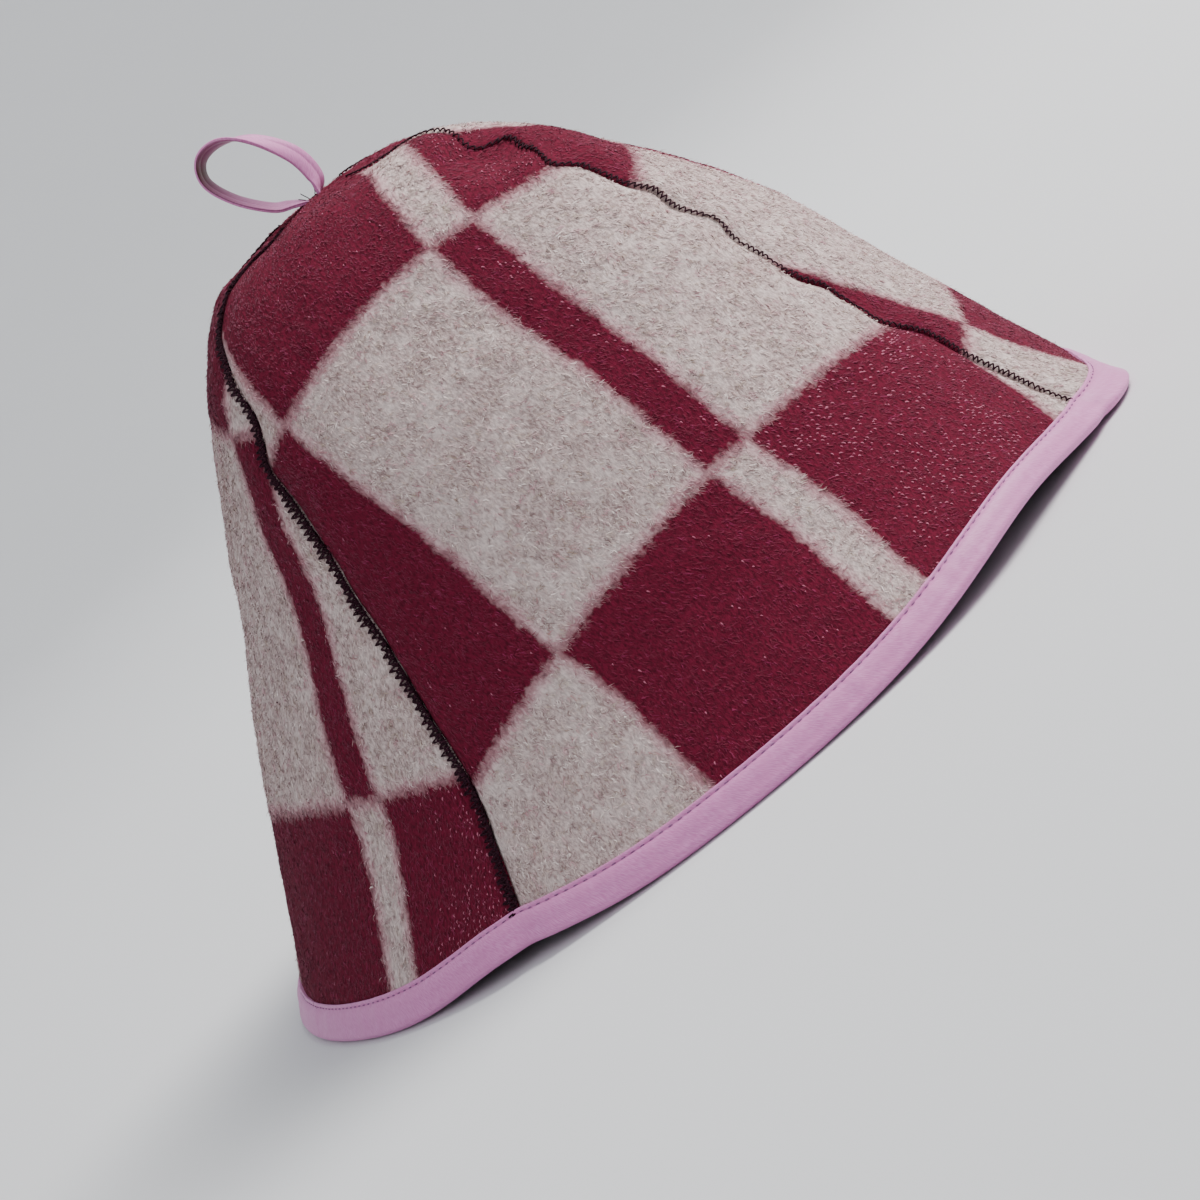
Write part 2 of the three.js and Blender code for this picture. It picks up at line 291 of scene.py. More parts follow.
def srgb(*colour):
    """A colour given as 0 to 255, as the linear colour that shaders use."""
    share = np.array(colour) / 255
    linear = np.where(share <= 0.04045, share / 12.92, ((share + 0.055) / 1.055) ** 2.4)
    return (*linear, 1.0)


class Graph:
    """A material's node tree, built by calls that take numbers, colours or sockets."""

    def __init__(self, name):
        self.material = bpy.data.materials.new(name)
        self.material.use_nodes = True
        self.tree = self.material.node_tree
        self.tree.nodes.clear()

    def add(self, kind, inputs=None, **settings):
        node = self.tree.nodes.new("ShaderNode" + kind)
        for key, value in settings.items():
            setattr(node, key, value)
        for key, value in (inputs or {}).items():
            if isinstance(value, bpy.types.NodeSocket):
                self.tree.links.new(value, node.inputs[key])
            else:
                node.inputs[key].default_value = value
        return node

    def math(self, operation, *values):
        return self.add("Math", dict(enumerate(values)), operation=operation).outputs[0]

    def vector(self, operation, *values):
        return self.add("VectorMath", dict(enumerate(values)), operation=operation).outputs[0]

    def parts(self, vector):
        return self.add("SeparateXYZ", {0: vector}).outputs

    def moved(self, vector, x=0.0, y=0.0):
        return self.vector("ADD", vector, (x, y, 0.0))

    def sway(self, value, noise, amount):
        """A value that a noise swings by an amount in all, half to each side."""
        return self.math("ADD", value, self.math("MULTIPLY_ADD", noise, amount, -amount / 2))

    def attribute(self, name, output="Vector"):
        return self.add("Attribute", attribute_name=name).outputs[output]

    def noise(self, vector, size, detail, roughness=0.5):
        inputs = {"Vector": vector, "Scale": 1 / size, "Detail": detail, "Roughness": roughness}
        return self.add("TexNoise", inputs).outputs[0]

    def ramp(self, value, low, high, to_low=0.0, to_high=1.0):
        inputs = {0: value, 1: low, 2: high, 3: to_low, 4: to_high}
        return self.add("MapRange", inputs, interpolation_type="SMOOTHSTEP").outputs[0]

    def mix(self, factor, a, b):
        return self.add("Mix", {0: factor, 6: a, 7: b}, data_type="RGBA").outputs[2]

    def bump(self, height, distance, strength):
        inputs = {"Height": height, "Distance": distance, "Strength": strength}
        return self.add("Bump", inputs).outputs[0]

    def finish(self, **inputs):
        """The surface shader. Its inputs' names have underscores here."""
        named = {key.replace("_", " "): value for key, value in inputs.items()}
        shader = self.add("BsdfPrincipled", named)
        output = self.add("OutputMaterial")
        self.tree.links.new(shader.outputs[0], output.inputs[0])
        return self.material


CREAM = srgb(204, 184, 180)
CREAM_LIGHT = srgb(240, 228, 223)
CREAM_DARK = srgb(144, 121, 119)
BURGUNDY = srgb(106, 20, 46)
BURGUNDY_LIGHT = srgb(140, 38, 80)
BURGUNDY_DARK = srgb(70, 11, 29)
ROSY = srgb(190, 126, 142)
STRAW = srgb(164, 146, 116)
FLECK = srgb(174, 96, 118)
PINK = srgb(199, 117, 172)
PINK_LIGHT = srgb(215, 141, 193)
PINK_MOTTLE = srgb(205, 125, 178)
# painted shade: the dark colour of the loop's inner face where it lies in shadow
TAPE_PAINTED_SHADE = srgb(62, 20, 18)

# The check: a wide column, a broader one and a narrow one, over rows. The colours change at every line.
CHECK = {"wide": 66.5, "broad": 80.0, "narrow": 15.0, "row": 110.0}
CHECK_PERIOD = CHECK["wide"] + CHECK["broad"] + CHECK["narrow"]
CHECK_LINES = (0.0, CHECK["wide"], CHECK["wide"] + CHECK["broad"], CHECK_PERIOD)
CHECK_SOFT = {"column": 1.5, "row": 2.2}  # how far from its lines the check reaches its full colours
CHECK_RAGS = {"fine": 2.8, "slow": 2.2, "rows": 5.0}  # how far its lines stray in all
FLECK_TONE = 2.0  # marks the flecks; the tones of the other fibres run from 0 to 1
FRINGE = 5.0  # how far from its lines the cream is tinged with burgundy wool
NAP_GRAIN = (1.0, 0.45, 1.0)  # the wool's grain is drawn out down the cloth


def check_share(g, place):
    """How cream a place is, with the ragged edges of brushed wool, and how near those are, from 0 to 1."""
    x, y, _ = g.parts(place)
    fine = g.noise(place, 2.2, 2.0)
    slow = g.noise(g.moved(place, x=90.0), 7.0, 1.0)
    along = g.noise(g.moved(place, x=40.0, y=70.0), 1.8, 2.0)
    x = g.sway(g.sway(x, fine, CHECK_RAGS["fine"]), slow, CHECK_RAGS["slow"])
    y = g.sway(y, along, CHECK_RAGS["rows"])
    turns = g.math("DIVIDE", x, CHECK_PERIOD)
    cell = g.math("FLOOR", turns)
    inside = g.math("MULTIPLY", g.math("SUBTRACT", turns, cell), CHECK_PERIOD)
    rows = g.math("DIVIDE", y, CHECK["row"])
    row = g.math("FLOOR", rows)
    below = g.math("MULTIPLY", g.math("SUBTRACT", rows, row), CHECK["row"])
    second = g.math("GREATER_THAN", inside, CHECK_LINES[1])
    third = g.math("GREATER_THAN", inside, CHECK_LINES[2])
    # Three columns to a period are odd, so each period also changes the colour.
    count = g.math("ADD", g.math("ADD", second, third), g.math("ADD", cell, row))
    odd = g.math("FLOORED_MODULO", count, 2.0)
    near = nearest(g, inside, CHECK_LINES)
    near_row = nearest(g, below, (0.0, CHECK["row"]))
    clear = g.ramp(near, 0.0, CHECK_SOFT["column"])
    clear = g.math("MULTIPLY", clear, g.ramp(near_row, 0.0, CHECK_SOFT["row"]))
    share = g.math("MULTIPLY_ADD", g.math("SUBTRACT", 0.5, odd), clear, 0.5)
    return share, g.ramp(g.math("MINIMUM", near, near_row), 0.0, FRINGE, 1.0, 0.0)


def nearest(g, place, lines):
    away = [g.math("ABSOLUTE", g.math("SUBTRACT", place, line)) for line in lines]
    near = away[0]
    for other in away[1:]:
        near = g.math("MINIMUM", near, other)
    return near


def wool_cloth():
    """The brushed ground between the fibres, with a fine grain along the nap."""
    g = Graph("check_wool_ground")
    place = g.attribute("cloth")
    share, fringe = check_share(g, place)
    along = g.vector("MULTIPLY", place, NAP_GRAIN)
    grain = g.noise(along, 0.8, 3.0, 0.65)
    blotch = g.noise(place, 9.0, 2.0)
    cream = g.mix(g.ramp(grain, 0.35, 0.65), CREAM_DARK, CREAM)
    cream = g.mix(g.ramp(blotch, 0.3, 0.8, 0.0, 0.4), cream, CREAM_LIGHT)
    cream = g.mix(g.math("MULTIPLY", fringe, 0.45), cream, ROSY)
    burgundy = g.mix(g.ramp(grain, 0.3, 0.65), BURGUNDY_DARK, BURGUNDY)
    colour = g.mix(share, burgundy, cream)
    lumps = g.noise(along, 1.2, 3.0, 0.65)
    normal = g.bump(lumps, 0.5 * MM, 0.8)
    return g.finish(Base_Color=colour, Roughness=0.95, Normal=normal, Specular_IOR_Level=0.15)


def wool_nap():
    """The brushed fibres, each of one colour, which vary from fibre to fibre and from place to place."""
    g = Graph("check_wool_nap")
    place = g.attribute("cloth")
    tone = g.attribute("tone", "Fac")
    share, fringe = check_share(g, place)
    blotch = g.noise(place, 6.0, 2.0)
    brushed = g.vector("MULTIPLY", g.moved(place, y=210.0), NAP_GRAIN)
    tuft = g.noise(brushed, 0.9, 1.0)
    light = g.sway(g.sway(tone, blotch, 0.5), tuft, 1.5)
    cream = g.mix(g.ramp(light, 0.0, 0.5), CREAM_DARK, CREAM)
    cream = g.mix(g.ramp(light, 0.5, 1.0), cream, CREAM_LIGHT)
    warm = g.noise(g.moved(place, x=300.0), 2.6, 2.0)
    rosy = g.noise(g.moved(place, y=300.0), 3.4, 2.0)
    cream = g.mix(g.ramp(warm, 0.48, 0.68, 0.0, 0.42), cream, STRAW)
    rosy = g.math("MULTIPLY_ADD", fringe, 0.22, rosy)
    cream = g.mix(g.ramp(rosy, 0.48, 0.74, 0.0, 0.6), cream, ROSY)
    burgundy = g.mix(g.ramp(light, -0.5, 0.5), BURGUNDY_DARK, BURGUNDY)
    burgundy = g.mix(g.ramp(light, 0.5, 1.3), burgundy, BURGUNDY_LIGHT)
    colour = g.mix(share, burgundy, cream)
    colour = g.mix(g.math("GREATER_THAN", tone, (1 + FLECK_TONE) / 2), colour, FLECK)
    return g.finish(
        Base_Color=colour, Roughness=0.85, Specular_IOR_Level=0.2,
        Sheen_Weight=0.24, Sheen_Roughness=0.5, Sheen_Tint=srgb(255, 190, 216),
    )


def satin_tape():
    """Pink tape with the slanting threads of satin cut on the bias, with painted shade on the inner face of
    the loop.
    """
    g = Graph("pink_binding")
    place = g.attribute("tape")
    x, y, _ = g.parts(place)
    fall = g.math("MULTIPLY", g.math("SUBTRACT", x, y), 0.12)
    slanted = g.add("CombineXYZ", {0: g.math("ADD", x, y), 1: fall})
    threads = g.noise(slanted.outputs[0], 0.35, 1.0)
    mottle = g.noise(place, 6.0, 2.0)
    inside = g.attribute("inside", "Fac")
    colour = g.mix(g.ramp(threads, 0.3, 0.7), PINK, PINK_LIGHT)
    colour = g.mix(g.ramp(mottle, 0.35, 0.7, 0.0, 0.5), colour, PINK_MOTTLE)
    # painted shade: the 'inside' attribute darkens the loop's inner face towards this colour
    colour = g.mix(inside, colour, TAPE_PAINTED_SHADE)
    normal = g.bump(threads, 0.08 * MM, 0.6)
    return g.finish(
        Base_Color=colour, Roughness=0.5, Normal=normal, Specular_IOR_Level=0.3,
        Sheen_Weight=0.15, Sheen_Roughness=0.4, Sheen_Tint=srgb(255, 225, 245),
    )


def thread(name, dark, light):
    g = Graph(name)
    place = g.add("TexCoord").outputs["Object"]
    grain = g.noise(place, 0.5 * MM, 2.0)
    colour = g.mix(g.ramp(grain, 0.3, 0.7), dark, light)
    normal = g.bump(grain, 0.1 * MM, 0.6)
    return g.finish(Base_Color=colour, Roughness=0.85, Normal=normal, Specular_IOR_Level=0.1)


WOOL = wool_cloth()
NAP = wool_nap()
TAPE = satin_tape()
PLUM_THREAD = thread("plum_thread", srgb(22, 8, 14), srgb(56, 24, 38))
MAUVE_THREAD = thread("mauve_thread", srgb(118, 78, 114), srgb(160, 118, 154))


# ---- Gores of cloth ----

# Where the check falls on each gore: how far a line of its columns lies from the middle and an edge of its
# rows from the apex, how they lean and tilt, how far the rows are stretched, and the way of the nap, in
# degrees. A turned gore has its columns in the opposite order, and its broad one is that many times as wide.
GORE_COLUMNS = ("line", "edge", "lean", "tilt", "stretch", "nap", "turned")
GORE_ROWS = {
    "front": (21.4, 96.8, -0.06, -0.07, 1.0, 18, 0),
    "right": (-12.5, 79.0, 0.03, 0.09, 1.0, 27, 0),
    "back": (-52.8, 78.9, -0.125, 0.064, 1.1, 4, 1.2),
    "left": (34.0, 80.0, 0.02, 0.06, 1.0, 12, 0),
}
GORE_CLOTH = {side: dict(zip(GORE_COLUMNS, row)) for side, row in GORE_ROWS.items()}
CLOTH_APART = 500.0  # sets the noises of one gore's cloth apart from the next one's
LEAN_FROM = 165  # slant at which the lines are as far across as the table says
CROWN_START = 1.2
CLOTH_END = GORE_END - 1
CLOTH_COLUMNS = 72
CLOTH_ROWS = 96
CROWDING = 1.25  # how closely the columns of points crowd towards the seams

# The uneven surface of thick wool: swells all over, and puckers beside the seams.
SWELLS = ((0.35, 13, 1), (0.22, 6, 2))  # height, size, seed
SWELL_SPAN = (90, 50)  # across half a gore, and from one gore's noise to the next one's
PUCKER_SPAN = (20, 9)
PUCKER = {"height": 0.35, "from_seam": 3, "reach": 5}
SEAM_ROLL = {"width": 2.4, "drop": 1.0, "full_from": 8}
CALM = {"radius": 20, "rim": 12}  # swells fade this near the apex and the rim

# Where the seam at each angle wanders: the slant of a bend's middle, its length, and how far it goes
# towards larger angles.
SEAM_BENDS = {
    45: ((56, 5.5, 5.5), (65, 5, -4.0), (83, 5.5, 5.8), (112, 5, -2.6), (133, 6, -4.6), (162, 7, 2.2),
         (171, 4, -1.6), (190, 7, 3.4), (206, 7, -2.8)),
    135: ((30, 14, 5.5), (50, 9, 3.6), (80, 10, -3.4), (101, 8, 2.2), (148, 12, 1.8)),
    225: ((95, 9, 2.0), (150, 12, -1.8)),
    315: ((88, 8, -2.2), (128, 8, 2.4), (180, 10, -1.8)),
}


def seam_bend(turn, slant):
    return sum(shift * bell(slant - centre, length) for centre, length, shift in SEAM_BENDS[turn])


def plain_radius(slant):
    """Mean radius of the form at each slant distance."""
    front, back, side = section_at(slant)[1:4]
    return (front + back + 2 * side) / 4


def gore_surface(middle, across, slant, depth=0.0):
    """Points of a gore's cloth, with its swells and with edges that roll down into the seams."""
    turn, pinch = np.radians(section_at(slant)[5:])
    even = middle + across * (math.pi / GORES)
    angle = even + turn - pinch * np.sin(2 * even)
    after, before = (round(math.degrees(middle) + side * 45) % 360 for side in (1, -1))
    bend = np.where(across > 0, seam_bend(after, slant), seam_bend(before, slant))
    angle += bend * across ** 2 / np.maximum(plain_radius(slant), CALM["radius"])
    radius = np.linalg.norm(outer_point(angle, slant)[..., :2], axis=-1)
    from_seam = (1 - abs(across)) * radius * math.pi / GORES
    spot = across * SWELL_SPAN[0] + middle * SWELL_SPAN[1]
    swell = sum(height * value_noise(spot, slant, size, seed) for height, size, seed in SWELLS)
    pucker = PUCKER["height"] * bell(from_seam - PUCKER["from_seam"], PUCKER["reach"])
    spot = across * PUCKER_SPAN[0] + middle * PUCKER_SPAN[1]
    pucker = pucker * value_noise(spot, slant, size=5.5, seed=3)
    near = np.clip(1 - from_seam / SEAM_ROLL["width"], 0, 1)
    roll = SEAM_ROLL["drop"] * (1 - np.sqrt(1 - near ** 2))
    calm = np.minimum(1, radius / CALM["radius"]) * np.clip((GORE_END - slant) / CALM["rim"], 0, 1)
    roll = roll * np.minimum(1, radius / SEAM_ROLL["full_from"])
    return wall_point(angle, slant, depth - (swell + pucker) * calm + roll)


def gore_grid(side):
    """Outer points of a gore on a grid, with their cloth coordinates."""
    number = list(GORE_CLOTH).index(side)
    middle = number * 2 * math.pi / GORES
    spread = np.linspace(-1, 1, CLOTH_COLUMNS + 1)
    across = np.sin(spread * CROWDING) / math.sin(CROWDING)
    slant = np.linspace(CROWN_START, CLOTH_END, CLOTH_ROWS + 1)
    s, a = np.meshgrid(slant, across, indexing="ij")
    points = gore_surface(middle, a, s)
    steps = np.linalg.norm(np.diff(points, axis=1), axis=-1)
    arc = np.concatenate([np.zeros((len(slant), 1)), np.cumsum(steps, axis=1)], axis=1)
    centre = CLOTH_COLUMNS // 2
    arc -= arc[:, centre:centre + 1]
    half = (arc[:, -1] - arc[:, 0]) / 2
    length = CROWN_START + length_along(points[:, centre])
    flare = np.gradient(plain_radius(slant), slant)
    bend = (flare / (half / (math.pi / GORES)))[:, None]
    x = np.sin(bend * arc) / bend
    y = length[:, None] - (1 - np.cos(bend * arc)) / bend
    facts = GORE_CLOTH[side]
    column = x - facts["line"] - facts["lean"] * (y - LEAN_FROM)
    if facts["turned"]:
        column = -CHECK["narrow"] - column
        beyond = column + CHECK["narrow"]
        column = np.where(beyond < 0, beyond / facts["turned"] - CHECK["narrow"], column)
    row = (y - facts["edge"] - facts["tilt"] * x) / facts["stretch"]
    place = np.stack([column, row, np.full_like(row, CLOTH_APART * number)], axis=-1)
    from_seam = half[:, None] - abs(arc)
    return {
        "middle": middle, "across": a, "slant": s, "points": points, "cloth": place, "from_seam": from_seam,
    }


def make_cloth(side):
    grid = gore_grid(side)
    rows, columns = grid["points"].shape[:2]
    inner = gore_surface(grid["middle"], grid["across"], grid["slant"], CLOTH)
    layers = ((grid["points"], inner), (grid["cloth"], grid["cloth"]))
    points, cloth = (np.concatenate([a, b[:, ::-1]], axis=1).reshape(-1, 3) for a, b in layers)
    faces = grid_faces(rows, 2 * columns)
    j = np.arange(columns - 1)
    top = np.stack([2 * columns - 1 - j, 2 * columns - 2 - j, j + 1, j], axis=-1)
    bottom = top[:, ::-1] + (rows - 1) * 2 * columns
    thing = put(f"cloth_{side}", points, [faces, top, bottom], WOOL, {"cloth": cloth})
    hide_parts(f"panel_{side}")
    return grid


def check_value(x, y):
    """1 on cream and 0 on burgundy."""
    inside = x % CHECK_PERIOD
    column = np.floor(x / CHECK_PERIOD) + (inside > CHECK_LINES[1]) + (inside > CHECK_LINES[2])
    return ((column + np.floor(y / CHECK["row"])) % 2 == 0).astype(float)


# Fibres lie in tufts that share a root, a direction and a curl.
NAP_LOOKS = {
    #          on cream, on burgundy, from fibre to fibre
    "length": (2.1, 2.0, (0.6, 1.35)),
    "width": (0.30, 0.26, (0.6, 1.3)),
    "lift": (0.45, 0.32, (0.4, 1.5)),
    "heading": (0.55, 0.32, 0.22),
    "curl": (1.6, 0.8, 0.4),
    "apart": (0.45, 0.5, 1),
}
TUFTS = 16000
TUFT_FIBRES = 3
TUFT_TONE = {"middle": 0.5, "tuft": 0.13, "fibre": 0.14}
LOOSE = {"share": 0.04, "width": 0.15, "rise": 0.5}  # single fibres that stand away
STUB = {"length": 0.3, "width": 0.05}  # a fibre on a bare seam
NAP_END = RIM_SLANT - BINDING_WIDTH - 0.5
FIBRE_ROLL = 0.5
FIBRE_ROOT = 0.12  # how deep the roots lie in the cloth
FIBRE_ARCH = 0.85 * math.pi  # how far round its arch a fibre goes
NAP_TIMES = (0.0, 0.5, 1.0)  # where along a fibre it has points
NAP_WIDTHS = (0.8, 1.0)  # its widths there, but for its tip
SEAM_CALM = {"bare": 0.5, "low": 3.0, "least": 0.4}  # no fibres, and lower ones, this near a seam

# Pale flecks spun into the burgundy wool.
FLECKS = {
    #        line, way, full share of the cells
    "front": (52, -1, 0.03),
    "right": (-5, 1, 0.34),
    "back": (9, -1, 0.60),
    "left": (0, 1, 0.20),
}
FLECK_LOOK = {"length": (0.7, 1.5), "width": (0.28, 0.46), "lift": 0.42, "rise": 0.12, "heading": 0.25}
FLECK_CELL = (2.0, 1.9)
FLECK_CELLS = 4096  # more cells than a gore has across
FLECK_TRIES = 60000
FLECK_RISE = 15.0
FLECK_EVERYWHERE = 0.02
FLECK_PATCHES = 1.2  # how much more crowded they are in patches


def pick_places(grid, count):
    """Random places spread evenly over a gore above its binding, with the grid's values there."""
    points = grid["points"]
    across_step, down_step = np.gradient(points, axis=1), np.gradient(points, axis=0)
    area = np.linalg.norm(np.cross(across_step, down_step), axis=-1)[:-1, :-1]
    shown = grid["slant"][:-1, :-1] < NAP_END
    weight = (area * shown).ravel()
    cell = rng.choice(weight.size, count, p=weight / weight.sum())
    i, j = np.divmod(cell, area.shape[1])
    u, v = rng.random(count)[:, None], rng.random(count)[:, None]

    def at(values):
        top = values[i, j] * (1 - u) + values[i, j + 1] * u
        return top * (1 - v) + (values[i + 1, j] * (1 - u) + values[i + 1, j + 1] * u) * v

    aside, down = unit(at(across_step)), unit(at(down_step))
    from_seam = at(grid["from_seam"][..., None])[:, 0]
    place = at(grid["cloth"])
    return {"root": at(points), "place": place, "aside": aside, "down": down, "from_seam": from_seam}


def fibres(at, heading, curl, length, width, lift, rise, roll):
    """Curved ribbons that taper to a point, as points and faces."""
    normal = unit(np.cross(at["aside"], at["down"]))
    here = at["root"] - normal * FIBRE_ROOT
    verts, before = [], 0.0
    for step, time in enumerate(NAP_TIMES):
        turn = heading + curl * (time - 0.5)
        forward = at["down"] * np.cos(turn)[:, None] - at["aside"] * np.sin(turn)[:, None]
        here = here + forward * (length * (time - before))[:, None]
        before = time
        arch = lift * math.sin(FIBRE_ARCH * time) + rise * time
        point = here + normal * arch[:, None]
        if step == len(NAP_WIDTHS):
            verts.append(point)
            continue
        edge = np.cross(forward, normal) * np.cos(roll)[:, None] + normal * np.sin(roll)[:, None]
        half = (width * NAP_WIDTHS[step] / 2)[:, None]
        verts += [point - edge * half, point + edge * half]
    base = np.arange(len(heading))[:, None] * len(verts)
    faces = [base + [0, 1, 3, 2], base + [2, 3, 4]]
    return np.stack(verts, axis=1).reshape(-1, 3), faces, len(verts)


def make_flecks(side, grid):
    """Short broad ribbons of pale wool, no more than one to each cell of a fine lattice."""
    at = pick_places(grid, FLECK_TRIES)
    x, y = at["place"][:, 0], at["place"][:, 1]
    cell = np.floor(x / FLECK_CELL[0]) * FLECK_CELLS + np.floor(y / FLECK_CELL[1])
    first = np.zeros(FLECK_TRIES, bool)
    first[np.unique(cell, return_index=True)[1]] = True
    line, way, full = FLECKS[side]
    share = FLECK_EVERYWHERE + full * np.clip(way * (line - x) / FLECK_RISE, 0, 1)
    share *= np.clip(1 + FLECK_PATCHES * value_noise(x, y, size=12, seed=31), 0, 2)
    keep = first & (rng.random(FLECK_TRIES) < share) & (check_value(x, y) < 0.5)
    keep &= at["from_seam"] > SEAM_CALM["low"] / 2
    at = {key: values[keep] for key, values in at.items()}
    count = int(keep.sum())
    heading = math.radians(GORE_CLOTH[side]["nap"]) * 0.5 + FLECK_LOOK["heading"] * rng.normal(0, 1, count)
    length, width = rng.uniform(*FLECK_LOOK["length"], count), rng.uniform(*FLECK_LOOK["width"], count)
    flat = np.zeros(count)
    lift, rise = flat + FLECK_LOOK["lift"], flat + FLECK_LOOK["rise"]
    points, faces, each = fibres(at, heading, flat, length, width, lift, rise, flat)
    return points, faces, np.repeat(at["place"], each, axis=0)


def make_nap(side, grid):
    """Short fibres brushed along the cloth, more curled and broader on the cream."""
    tuft = pick_places(grid, TUFTS)
    count = TUFTS * TUFT_FIBRES

    def spread(values):
        return np.repeat(values, TUFT_FIBRES, axis=0)

    at = {key: spread(values) for key, values in tuft.items()}
    on_cream = check_value(at["place"][:, 0], at["place"][:, 1]) > 0.5
    look = {key: np.where(on_cream, row[0], row[1]) for key, row in NAP_LOOKS.items()}
    strays = {key: row[2] for key, row in NAP_LOOKS.items()}
    jitter = rng.normal(0, 1, (count, 2)) * look["apart"][:, None]
    at["root"] = at["root"] + at["aside"] * jitter[:, :1] + at["down"] * jitter[:, 1:]
    at["place"] = at["place"] + np.pad(jitter, ((0, 0), (0, 1)))
    brushed = math.radians(GORE_CLOTH[side]["nap"])
    heading, curl = (
        look[key] * spread(rng.normal(0, 1, TUFTS)) + strays[key] * rng.normal(0, 1, count)
        for key in ("heading", "curl")
    )
    sizes = ("length", "width", "lift")
    length, width, lift = (look[key] * rng.uniform(*strays[key], count) for key in sizes)
    lift *= np.clip(at["from_seam"] / SEAM_CALM["low"], SEAM_CALM["least"], 1)
    loose = rng.random(count) < LOOSE["share"]
    width = np.where(loose, LOOSE["width"], width)
    rise = np.where(loose, length * LOOSE["rise"], 0)
    roll = rng.uniform(-FIBRE_ROLL, FIBRE_ROLL, count)
    tone = spread(rng.normal(TUFT_TONE["middle"], TUFT_TONE["tuft"], TUFTS))
    tone = np.clip(tone + rng.normal(0, TUFT_TONE["fibre"], count), 0, 1)
    bare = at["from_seam"] < SEAM_CALM["bare"]
    length, width = np.where(bare, STUB["length"], length), np.where(bare, STUB["width"], width)
    points, faces, each = fibres(at, brushed + heading, curl, length, width, lift, rise, roll)
    fleck_points, fleck_faces, fleck_place = make_flecks(side, grid)
    cloth = np.concatenate([np.repeat(at["place"], each, axis=0), fleck_place])
    tones = np.concatenate([np.repeat(tone, each), np.full(len(fleck_place), FLECK_TONE)])
    points, faces = merge([(points, faces), (fleck_points, fleck_faces)])
    thing = put(f"nap_{side}", points, faces, NAP, {"cloth": cloth, "tone": tones})


for side in GORE_CLOTH:
    make_nap(side, make_cloth(side))


# ---- Threads and tape ----

HAT_MIDDLE = np.array([0, 0, 60]) - 1e-6  # off the axis, so that it's never in line with a thread


def tube(points, radius, sides):
    """A round thread along points, as points and faces."""
    tangent = unit(np.gradient(points, axis=0))
    outward = unit(points - HAT_MIDDLE)
    side = unit(np.cross(tangent, outward))
    up = np.cross(side, tangent)
    turn = np.arange(sides) * 2 * math.pi / sides
    ring = side[:, None] * np.cos(turn)[:, None] + up[:, None] * np.sin(turn)[:, None]
    radius = np.broadcast_to(radius, (len(points),))[:, None, None]
    verts = (points[:, None] + ring * radius).reshape(-1, 3)
    return verts, [grid_faces(len(points), sides), *end_faces(len(points), sides)]


def end_faces(rows, columns):
    """The two faces that close a tube of points stored row by row."""
    ring = np.arange(columns)[None, :]
    return ring[:, ::-1], (rows - 1) * columns + ring


# Zigzag seams. Reach is how far the stitches bite towards smaller and larger angles. Each pass of the
# machine has its shift, in stitches, and its share of the full reach. Cord is the radius of the packed
# threads, or 0 for none.
FINE = {"pitch": 1.7, "passes": ((0.0, 1.0),), "cord": 0.0}
BOLD = {"pitch": 2.2, "passes": ((0.0, 1.0), (0.1, 0.8), (0.5, 0.45)), "cord": 0.3}
SEAMS = {
    "front_right": {"turn": 45, "reach": (1.1, 1.1), **FINE},
    "back_right": {"turn": 135, "reach": (0.6, 2.9), **BOLD},
    "back_left": {"turn": 225, "reach": (2.6, 0.6), **BOLD},
    "front_left": {"turn": 315, "reach": (1.1, 1.1), **FINE},
}
SEAM_THREAD = 0.26
SEAM_FROM = 13.0
SEAM_TO = RIM_SLANT - BINDING_WIDTH + 2
SEAM_FULL = 25  # slant from which stitches have their full reach
LEAST_OFFSET = 0.05

# A stitch: how far its thread has gone to the next bite, and how high above the bites it is there.
STITCH_PATH = ((0.0, 0.4), (0.12, 0.65), (0.4, 0.75), (0.6, 0.75), (0.88, 0.65))
BITE_HEIGHT = 0.1
STITCH_STRAYS = {"along": 0.16, "reach": (0.62, 1.2), "thread": (0.9, 1.15)}
CORD = {"step": 1.2, "aside": 0.06, "height": 0.35, "strays": (0.75, 1.25)}


def beside_seam(turn, offset, slant, height):
    """Points beside a seam, at an offset towards larger angles and a height over the cloth."""
    eighth = math.pi / GORES
    middle = math.radians(turn) - eighth
    half = plain_radius(slant) * eighth
    inward = np.maximum(abs(offset), LEAST_OFFSET) / half
    before = gore_surface(middle, 1 - inward, slant, -height)
    after = gore_surface(middle + 2 * eighth, inward - 1, slant, -height)
    return np.where((offset < 0)[..., None], before, after)


def wander(slant, reach, size, seed):
    return reach * value_noise(slant, slant * 0, size, seed)


def zigzag(facts, shift, share):
    """One pass of the machine down a seam: bites on alternate sides, with the thread arched between them."""
    bites = np.arange(SEAM_FROM, SEAM_TO, facts["pitch"] / 2)
    slant = bites + shift * facts["pitch"] + rng.normal(0, STITCH_STRAYS["along"], len(bites))
    right = np.arange(len(bites)) % 2 == 1
    reach = np.where(right, facts["reach"][1], -facts["reach"][0]) * share
    offset = reach * rng.uniform(*STITCH_STRAYS["reach"], len(bites))
    offset = (offset + wander(slant, reach=0.45, size=11, seed=8)) * np.minimum(1, slant / SEAM_FULL)
    bite = beside_seam(facts["turn"], offset, slant, BITE_HEIGHT)
    over = beside_seam(facts["turn"], offset, slant, BITE_HEIGHT + 1) - bite
    path = []
    for time, height in STITCH_PATH:
        blend = bite[:-1] * (1 - time) + bite[1:] * time
        path.append(blend + unit(over[:-1] + over[1:]) * height)
    points = np.stack(path, axis=1).reshape(-1, 3)
    return tube(points, SEAM_THREAD * rng.uniform(*STITCH_STRAYS["thread"], len(points)), sides=5)


